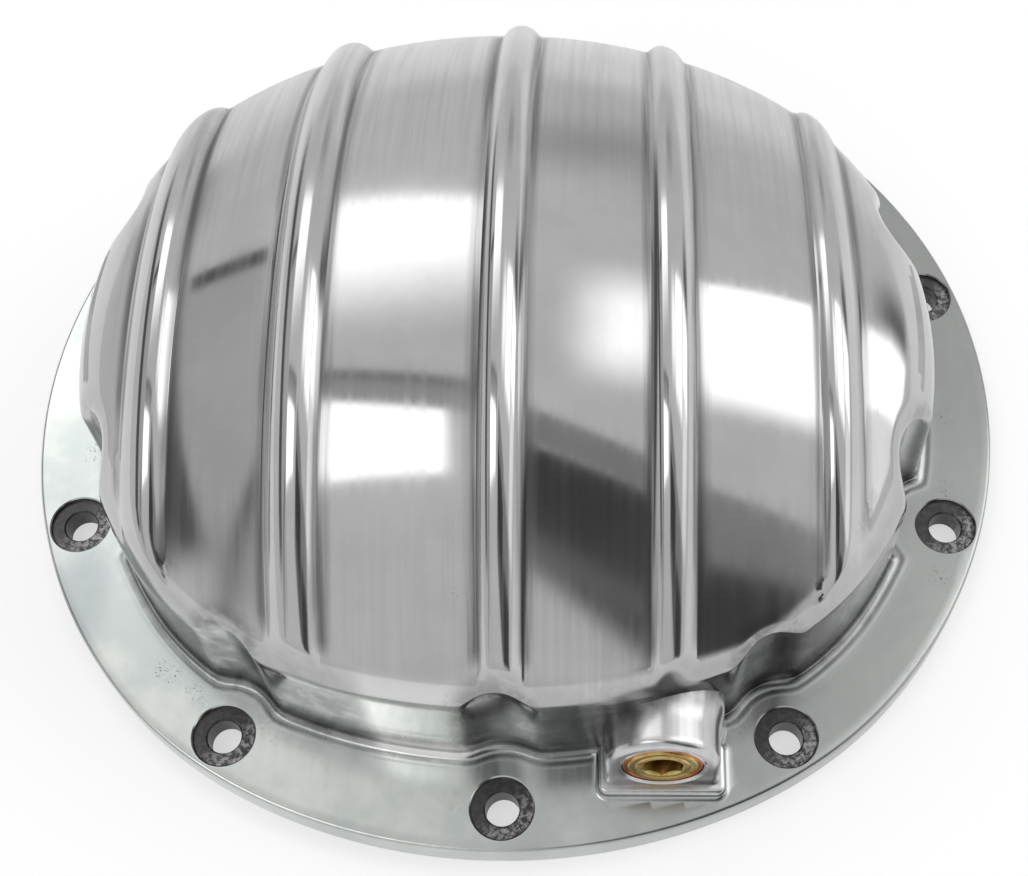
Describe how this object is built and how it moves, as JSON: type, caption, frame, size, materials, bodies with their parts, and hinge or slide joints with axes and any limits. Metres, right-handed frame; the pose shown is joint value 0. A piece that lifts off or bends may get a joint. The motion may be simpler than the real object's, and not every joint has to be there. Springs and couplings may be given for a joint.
{
  "type": "differential cover",
  "caption": "Polished cast cover for an axle's differential housing, with round ribs over a domed roof, a bolted flange and a drain plug.",
  "frame": {"origin": "middle of the flange's outline, on the gasket face", "axes": "+Z out of the gasket face towards the roof, -Y towards the drain plug, X across the ribs"},
  "size_m": [0.28, 0.2654, 0.0985],
  "materials": {
    "casting": "polished",
    "plug": "yellow zinc plate on steel"
  },
  "bodies": {
    "root": {"cover": "casting", "drain_plug": "plug"}
  },
  "joints": []
}
